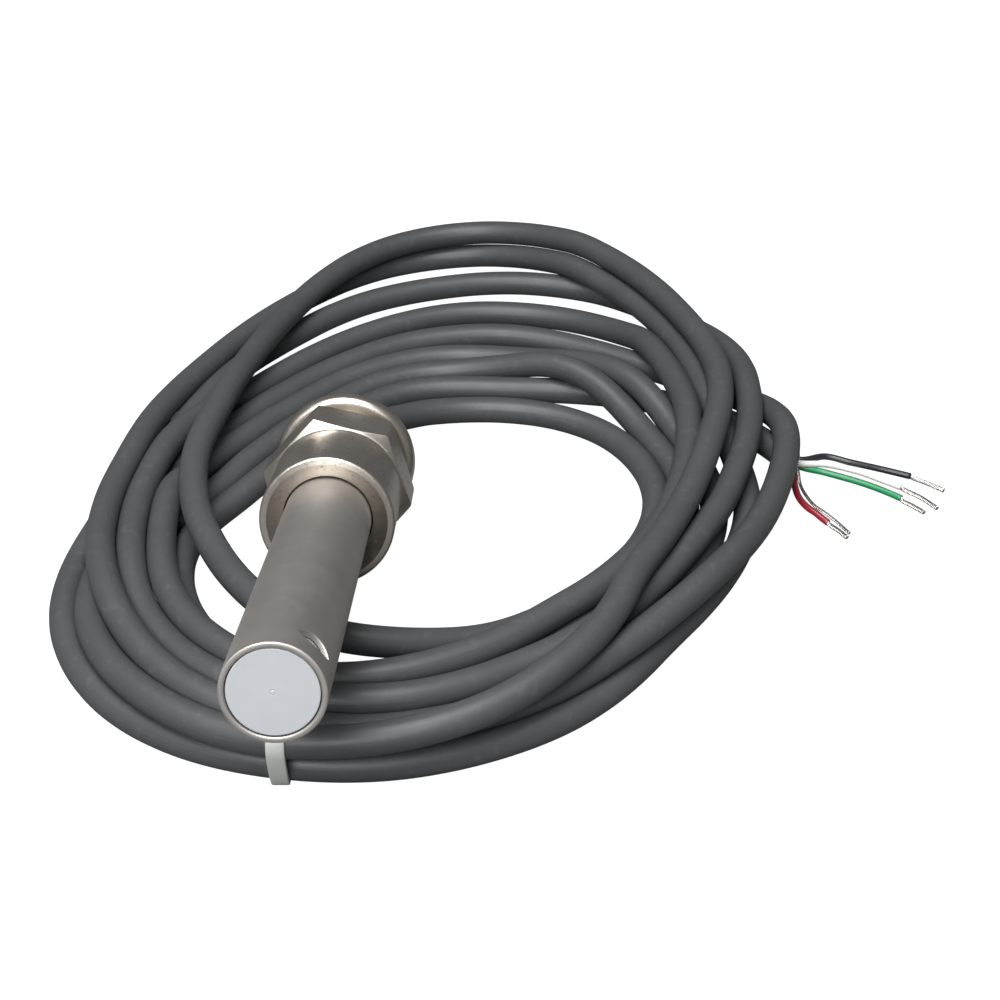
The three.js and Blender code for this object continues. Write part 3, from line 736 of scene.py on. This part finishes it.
drain = stranded("drain_strands", drain_line, DRAIN_RADIUS * MM, DRAIN_PITCH, ("drain_wire",))


# ---- barrel: a thin tube with a lens-shaped window through its wall near the face ----
WINDOW_HALF_LENGTH = 3.7
WINDOW_HALF_WIDTH = 1.7
WINDOW_ANGLE = radians(43)
WINDOW_Z = FACE_Z - 6.6
WINDOW_LIP = 0.25
PATCH_REACH = 3.2
RIM_EASE = 0.3
RIM_START_Z = FACE_Z - 0.4


def barrel_wall():
    """The wall as one grid, without a patch round the window: outer skin from rear to face, over the rounded
    rim and back down the bore. Gives its points, its faces and the patch's edge outside and in the bore, each
    one a closed loop of (angle, z)."""
    columns = 240
    patch_columns = 40
    z_plain = np.linspace(BARREL_REAR_Z + RIM_EASE, WINDOW_Z - PATCH_REACH, 60)
    z_patch = np.linspace(WINDOW_Z - PATCH_REACH, WINDOW_Z + PATCH_REACH, 17)
    z_front = np.linspace(WINDOW_Z + PATCH_REACH, RIM_START_Z, 8)
    outer_z = np.concatenate([z_plain, z_patch[1:], z_front[1:]])
    outer = np.column_stack([np.full(len(outer_z), BARREL_RADIUS), outer_z])
    turn = np.linspace(0, np.pi, 13)[1:-1]
    wall = BARREL_RADIUS - BARREL_BORE
    middle = (BARREL_RADIUS + BARREL_BORE) / 2
    bulge = RIM_EASE * np.sin(turn) ** 0.5
    lip = np.column_stack([middle + wall / 2 * np.cos(turn), FACE_Z - RIM_EASE + bulge])
    bore_z = np.linspace(RIM_START_Z, BARREL_REAR_Z + RIM_EASE, 40)
    bore = np.column_stack([np.full(len(bore_z), BARREL_BORE), bore_z])
    rear = np.column_stack([middle - wall / 2 * np.cos(turn), BARREL_REAR_Z + RIM_EASE - bulge])
    line = np.concatenate([outer, lip, bore, rear])
    angle = WINDOW_ANGLE + np.linspace(0, 2 * np.pi, columns, endpoint=False) - np.pi
    points = on_axis(line[:, :1] * np.cos(angle), line[:, :1] * np.sin(angle), line[:, 1:] + 0 * angle)
    faces = grid_faces(len(line), columns, True, True).reshape(len(line), columns, 4)
    keep = np.ones((len(line), columns), bool)
    low, high = len(z_plain) - 1, len(z_plain) - 1 + len(z_patch) - 1
    left, right = columns // 2 - patch_columns // 2, columns // 2 + patch_columns // 2
    keep[low:high, left:right] = False
    bore_low = len(outer) + len(lip) + np.searchsorted(-bore_z, -(WINDOW_Z + PATCH_REACH)) - 1
    bore_high = len(outer) + len(lip) + np.searchsorted(-bore_z, -(WINDOW_Z - PATCH_REACH))
    keep[bore_low:bore_high, left:right] = False

    def patch_edge(z):
        """The patch's edge, in order round it."""
        a = angle[left:right + 1]
        loop = [(a[i], z[0]) for i in range(len(a) - 1)]
        loop += [(a[-1], z[i]) for i in range(len(z) - 1)]
        loop += [(a[-1 - i], z[-1]) for i in range(len(a) - 1)]
        loop += [(a[0], z[-1 - i]) for i in range(len(z) - 1)]
        return np.array(loop)

    bore_patch_z = line[bore_low:bore_high + 1, 1][::-1]
    return points.reshape(-1, 3), faces[keep], patch_edge(z_patch), patch_edge(bore_patch_z)


def lens_point(loop, grow):
    """For each point of a patch's edge, the point of the lens in the same direction: along the barrel's width
    L cos t and along its length W sin t to the power 1.7, with L and W grown by some millimetres."""
    x = (loop[:, 0] - loop[:, 0].mean()) * BARREL_RADIUS
    z = loop[:, 1] - (loop[:, 1].max() + loop[:, 1].min()) / 2
    turn = np.arctan2(z / np.abs(z).max(), x / np.abs(x).max())
    length, width = WINDOW_HALF_LENGTH + grow, WINDOW_HALF_WIDTH + grow
    bow = np.abs(np.sin(turn)) ** 1.7 * np.sign(np.sin(turn))
    return np.column_stack([WINDOW_ANGLE + length * np.cos(turn) / BARREL_RADIUS, WINDOW_Z + width * bow])


def barrel_piece():
    """The wall, then the patch's rings: outside from its edge to the lens, over the lens's rounded lip and
    through the wall, and in the bore from its edge to the lens."""
    points, shell, outer_edge, bore_edge = barrel_wall()

    def ring(loop, radius):
        return np.column_stack([loop, np.full(len(loop), radius)])

    def rings_between(loop, target, radius, count):
        return [ring(loop + (target - loop) * share, radius) for share in np.linspace(0, 1, count)]

    rings = rings_between(outer_edge, lens_point(outer_edge, WINDOW_LIP), BARREL_RADIUS, 9)
    for turn in np.linspace(0, np.pi / 2, 5)[1:]:
        loop = lens_point(outer_edge, WINDOW_LIP * (1 - np.sin(turn)))
        rings.append(ring(loop, BARREL_RADIUS - WINDOW_LIP * (1 - np.cos(turn))))
    for radius in (BARREL_RADIUS - 0.5, BARREL_BORE + 0.2, BARREL_BORE):
        rings.append(ring(lens_point(outer_edge, 0.0), radius))
    bore_rings = rings_between(bore_edge, lens_point(bore_edge, 0.0), BARREL_BORE, 4)
    faces = [shell]
    for group in (rings, bore_rings):
        angle, z, radius = np.moveaxis(np.array(group), -1, 0)
        faces.append(grid_faces(*angle.shape, False, True) + len(points))
        patch = on_axis(radius * np.cos(angle), radius * np.sin(angle), z)
        points = np.concatenate([points, patch.reshape(-1, 3)])
    return make_piece("barrel", points, np.concatenate(faces).tolist(), STEEL, "sensor",
                      weld=2e-6, replaces=("barrel_tube",), outward=True)


barrel_piece()

# ---- face cap: a white cup whose front disc has a small gate mark in its middle ----
turned("face_disc", [
    (0, CAP_FRONT_Z + 0.03), (0.28, CAP_FRONT_Z + 0.03, 0.05), (0.42, CAP_FRONT_Z - 0.05, 0.05),
    (0.62, CAP_FRONT_Z, 0.05), (CAP_RADIUS, CAP_FRONT_Z, 0.22), (CAP_RADIUS, CAP_REAR_Z + 3.6, 0.1),
    (CAP_RADIUS - 0.8, CAP_REAR_Z + 3.6, 0.1), (CAP_RADIUS - 0.8, CAP_REAR_Z + 1.9, 0.1),
    (CAP_RADIUS, CAP_REAR_Z + 1.9, 0.1), (CAP_RADIUS, CAP_REAR_Z, 0.2), (CAP_RADIUS - 1.55, CAP_REAR_Z, 0.2),
    (CAP_RADIUS - 1.55, CAP_FRONT_Z - 2, 0.2), (0, CAP_FRONT_Z - 2),
], WHITE, "sensor", ("face_cap",), closed=False, columns=160)

# ---- rear of the barrel: steel bushing and the rubber grommet that tapers onto the cable ----
plug_rear = BARREL_REAR_Z + 0.4
plug_front = BARREL_REAR_Z + 10
plug_step = BARREL_REAR_Z + 6.5
plug_radius = BARREL_BORE - 0.1
turned("bushing", [
    (5.3, plug_rear), (plug_radius, plug_rear, 0.3), (plug_radius, plug_front), (3.6, plug_front),
    (3.6, plug_step), (5.3, plug_step),
], STEEL, "sensor", ("rear_bushing",))
turned("grommet", [
    (3.3, CABLE_EXIT_Z + 0.1, 0.1), (3.75, CABLE_EXIT_Z + 0.1, 0.2), (4.1, CABLE_EXIT_Z + 1.6, 0.5),
    (5.0, plug_rear, 0.3), (5.2, plug_rear + 0.3, 0.1), (5.2, plug_step - 0.3, 0.2),
    (3.3, plug_step - 0.3, 0.1),
], RUBBER, "sensor", ("cable_grommet",))

# ---- compression fitting ----
BARREL_HOLE = BARREL_RADIUS + 0.06
NUT_COLLAR_RADIUS = 14.0
NUT_RIM_Z = 2.0
NUT_RIM_RADIUS = 12.5
NUT_SHOULDER_Z = -16.0
HEX_FRONT_Z = -18.0
HEX_REAR_Z = -31.0
HEX_CHAMFER = 1.3
NECK_RADIUS = 12.0
NECK_FRONT_Z = -20.5
SEAL_SEAT_Z = -30.6
FLANGE_RADIUS = 15.7
FLANGE_FRONT_Z = -36.5
FLANGE_REAR_Z = -41.0
SPIGOT_RADIUS = 12.35
SPIGOT_REAR_Z = -47.5
GASKET_RADIUS = 14.3
GASKET_FRONT_Z = FLANGE_REAR_Z - 0.05
GASKET_REAR_Z = -42.8


def nut_piece():
    """Collar and hexagon as one skin. Round sections are circles; the hexagon's radius is half its width
    divided by a high-power mean of cos over its six flats, which eases the corners. Each chamfer is a cone,
    and the rows beside it follow the curve where cone and flat meet, so that curve stays sharp."""
    power = 110
    in_sextant = np.sin(np.linspace(-np.pi / 2, np.pi / 2, 33)[:-1]) * np.pi / 6
    angle = (HEX_PHASE + np.pi / 6 + np.arange(6)[:, None] * np.pi / 3 + in_sextant[None, :]).ravel()
    flats = HEX_PHASE + np.pi / 6 + np.arange(6) * np.pi / 3
    facing = np.maximum(np.cos(angle[:, None] - flats[None, :]), 0)
    hexagon = HEX_AF / 2 * (facing ** power).sum(1) ** (-1 / power)
    chamfer_radius = HEX_AF / 2 - 0.2
    slope = (HEX_AF / np.sqrt(3) + 0.1 - chamfer_radius) / HEX_CHAMFER
    depth = (hexagon - chamfer_radius) / slope
    rows = []

    def circle(radius, z):
        rows.append((np.full_like(angle, radius), np.full_like(angle, z)))

    hole, thread = BARREL_HOLE + 0.25, NECK_RADIUS + 0.1
    nose = rounded([
        (NUT_COLLAR_RADIUS, HEX_FRONT_Z, 0.0), (NUT_COLLAR_RADIUS, NUT_RIM_Z, 2.1),
        (NUT_RIM_RADIUS, NUT_RIM_Z, 0.12), (hole, 0, 0.15), (hole, NUT_SHOULDER_Z, 0.2),
        (thread, NUT_SHOULDER_Z, 0.2), (thread, HEX_REAR_Z, 0.3), (chamfer_radius, HEX_REAR_Z, 0.0),
    ], False, steps=7)
    straight = np.linspace(HEX_FRONT_Z, NUT_RIM_Z - 3, 12)
    for z in straight[1:]:
        circle(NUT_COLLAR_RADIUS, z)
    for radius, z in nose[1:]:
        circle(radius, z)
    for share in (0.25, 0.6, 0.9, 1.0):
        rows.append((chamfer_radius + (hexagon - chamfer_radius) * share, HEX_REAR_Z + depth * share))
    rear, front = HEX_REAR_Z + depth, HEX_FRONT_Z - depth
    for share in (0.012, 0.05, 0.25, 0.5, 0.75, 0.95, 0.988, 1.0):
        rows.append((hexagon, rear + (front - rear) * share))
    for share in (0.9, 0.6, 0.25, 0.0):
        rows.append((chamfer_radius + (hexagon - chamfer_radius) * share, HEX_FRONT_Z - depth * share))
    circle(NUT_COLLAR_RADIUS + 0.02, HEX_FRONT_Z)
    radius, z = (np.array([row[k] for row in rows]) for k in (0, 1))
    points = on_axis(radius * np.cos(angle), radius * np.sin(angle), z)
    faces = grid_faces(len(rows), len(angle), True, True)
    return make_piece("nut", points, faces.tolist(), NICKEL, "gland_nut",
                      replaces=("gland_nut",), outward=True)


nut_piece()
turned("rear_body", [
    (BARREL_HOLE, SEAL_SEAT_Z, 0.2), (NECK_RADIUS - 1.0, SEAL_SEAT_Z, 0.2),
    (NECK_RADIUS - 0.9, NECK_FRONT_Z, 0.2), (NECK_RADIUS, NECK_FRONT_Z, 0.3),
    (NECK_RADIUS, FLANGE_FRONT_Z, 0.2), (FLANGE_RADIUS, FLANGE_FRONT_Z, 2.1),
    (FLANGE_RADIUS, FLANGE_REAR_Z, 2.0), (SPIGOT_RADIUS, FLANGE_REAR_Z, 0.1),
    (SPIGOT_RADIUS, SPIGOT_REAR_Z, 0.5), (BARREL_HOLE, SPIGOT_REAR_Z, 0.3),
], NICKEL, "gland_body", ("gland_body",), columns=160)
turned("gasket", [
    (SPIGOT_RADIUS + 0.1, GASKET_REAR_Z, 0.2), (GASKET_RADIUS, GASKET_REAR_Z, 0.4),
    (GASKET_RADIUS, GASKET_FRONT_Z, 0.4), (SPIGOT_RADIUS + 0.1, GASKET_FRONT_Z, 0.2),
], RUBBER, "gland_body", ("flange_gasket",))


# ---- tie round the front of the coil ----
TIE_X = -6.6
TIE_WIDTH = 3.6
TIE_THICKNESS = 1.2
TIE_REAR_Y = -11.5
TIE_LIFT = 0.1


def strands_at_tie():
    """Where the cable crosses the tie's plane within the tied bundle, as (y, z) middles in metres."""
    side = coil_line[:, 0] - TIE_X * MM
    k = np.nonzero(side[:-1] * side[1:] < 0)[0]
    share = (side[k] / (side[k] - side[k + 1]))[:, None]
    crossing = coil_line[k] + (coil_line[k + 1] - coil_line[k]) * share
    return crossing[crossing[:, 1] < TIE_REAR_Y * MM][:, 1:]


def tie_outline():
    """A line drawn tight round the strands: for each direction the furthest reach of any strand's round
    section, taken as a support function, whose envelope point is h n + h' t; then eased and lifted off the
    floor."""
    eases = 14
    middles = strands_at_tie()
    angle = np.linspace(0, 2 * np.pi, 180, endpoint=False)
    normal = np.stack([np.cos(angle), np.sin(angle)], -1)
    reach = (middles @ normal.T).max(0) + (CABLE_RADIUS + TIE_THICKNESS / 2) * MM
    for _ in range(eases):
        reach = (np.roll(reach, 1) + 2 * reach + np.roll(reach, -1)) / 4
    slope = (np.roll(reach, -1) - np.roll(reach, 1)) / (angle[2] - angle[0])
    outline = reach[:, None] * normal + slope[:, None] * np.stack([-np.sin(angle), np.cos(angle)], -1)
    outline[:, 1] = np.maximum(outline[:, 1], (TIE_THICKNESS / 2 + TIE_LIFT) * MM)
    return outline


def tie_piece():
    """A strap section, a rounded rectangle, carried round the outline."""
    outline = tie_outline()
    ahead = np.roll(outline, -1, 0) - np.roll(outline, 1, 0)
    ahead /= np.linalg.norm(ahead, axis=1)[:, None]
    outward = np.stack([ahead[:, 1], -ahead[:, 0]], -1)
    half_width, half_thickness = TIE_WIDTH / 2 * MM, TIE_THICKNESS / 2 * MM
    section = rounded([
        (-half_width, -half_thickness), (half_width, -half_thickness), (half_width, half_thickness),
        (-half_width, half_thickness),
    ], True, 0.00035)
    across = np.broadcast_to(section[None, :, 0] + TIE_X * MM, (len(outline), len(section)))
    flat = outline[:, None] + outward[:, None] * section[None, :, 1:]
    points = np.concatenate([across[..., None], flat], -1)
    faces = grid_faces(len(outline), len(section), True, True)
    return make_piece("tie_strap", points, faces.tolist(), NYLON, "sensor",
                      replaces=("tie_band",), outward=True)


tie_piece()


def rounded_box(name, middle, size, ease, material, body, replaces):
    """A box with rounded edges: each point of a cube's grid is pulled in to the core box, then pushed out by
    the ease."""
    steps = 12
    u = np.tan(np.linspace(-np.pi / 4, np.pi / 4, steps + 1))
    a, b = np.meshgrid(u, u, indexing="ij")
    sides, faces = [], []
    for axis in range(3):
        for sign in (-1, 1):
            side = np.empty((steps + 1, steps + 1, 3))
            side[..., axis] = sign
            side[..., (axis + 1) % 3] = a
            side[..., (axis + 2) % 3] = b
            faces.append(grid_faces(steps + 1, steps + 1, False, False) + len(sides) * (steps + 1) ** 2)
            sides.append(side.reshape(-1, 3))
    cube = np.concatenate(sides)
    half = np.array(size) / 2
    core = np.clip(cube * half, -(half - ease), half - ease)
    out = cube * half - core
    length = np.maximum(np.linalg.norm(out, axis=1), 1e-9)[:, None]
    points = core + out / length * ease
    flat = np.linalg.norm(out, axis=1) < 1e-8
    points[flat] = core[flat]
    points = (points + np.array(middle)) * MM
    return make_piece(name, points, np.concatenate(faces).tolist(), material, body, weld=1e-6,
                      replaces=replaces, outward=True)


rounded_box("tie_lock", (TIE_X, -6.5, 6), (5.4, 3.4, 4.6), 0.6, NYLON, "sensor", ("tie_head",))

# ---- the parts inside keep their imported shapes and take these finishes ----
INSIDE = [
    (RUBBER, ["cap_o_ring", "clamp_seal"]),
    (FERRITE, ["pot_core"]),
    (WHITE, ["coil_bobbin", "trimmer"]),
    (COPPER, ["sensing_winding", "screen_sleeve"]),
    (BOARD, ["circuit_board"]),
    (BRASS, ["cable_crimp", "input_capacitor", "output_capacitor", "thrust_ring"]),
    (DARK_PLASTIC, ["core_carrier", "oscillator_chip", "trigger_chip", "voltage_regulator",
                    "output_transistor", "reverse_diode", "surge_diode", "film_capacitor"]),
    *((CORE_COLOURS[colour], [f"inner_wire_{colour}"]) for colour in CORE_COLOURS),
]
for finish, names in INSIDE:
    for name in names:
        for slot in nodes[name].material_slots:
            slot.link = "OBJECT"
            slot.material = finish

# ---- floor, light and world ----
FLOOR_REACH = 4.0
# The floor glows for the camera alone, which keeps it pale without lighting the cable from below.
FLOOR_GLOW = 1.0
WORLD_GLOW = 0.17
floor_corners = [(x * FLOOR_REACH, y * FLOOR_REACH, 0) for x, y in ((-1, -1), (1, -1), (1, 1), (-1, 1))]
floor_mesh = bpy.data.meshes.new("floor")
floor_mesh.from_pydata(floor_corners, [], [(0, 1, 2, 3)])
floor = bpy.data.objects.new("floor", floor_mesh)
bpy.context.collection.objects.link(floor)
floor_finish = Finish("floor_white", Roughness=0.9, Base_Color=(0.14, 0.14, 0.14), Specular_IOR_Level=0.1,
                      Emission_Strength=FLOOR_GLOW)
floor_finish.set("Emission Color", floor_finish.place.node("ShaderNodeLightPath", output="Is Camera Ray"))
floor_mesh.materials.append(floor_finish.material)


def soft_light(name, place, towards, size, power):
    """A rectangular area light that faces a point."""
    data = bpy.data.lights.new(name, "AREA")
    data.shape = "RECTANGLE"
    data.size, data.size_y = size
    data.energy = power
    light = bpy.data.objects.new(name, data)
    light.location = place
    aim = np.array(towards, float) - np.array(place, float)
    light.rotation_euler = mathutils.Vector(aim).to_track_quat("-Z", "Y").to_euler()
    bpy.context.collection.objects.link(light)


soft_light("key", (-0.10, -0.42, 0.40), (0.02, -0.02, 0.0), (0.30, 0.25), 3.2)
soft_light("top", (-0.05, -0.10, 0.72), (0.02, -0.01, 0.0), (0.45, 0.45), 7.0)
world = bpy.data.worlds.new("studio")
world.use_nodes = True
background = world.node_tree.nodes["Background"]
background.inputs["Color"].default_value = (1, 1, 1, 1)
background.inputs["Strength"].default_value = WORLD_GLOW
bpy.context.scene.world = world
bpy.context.scene.view_settings.view_transform = "Standard"
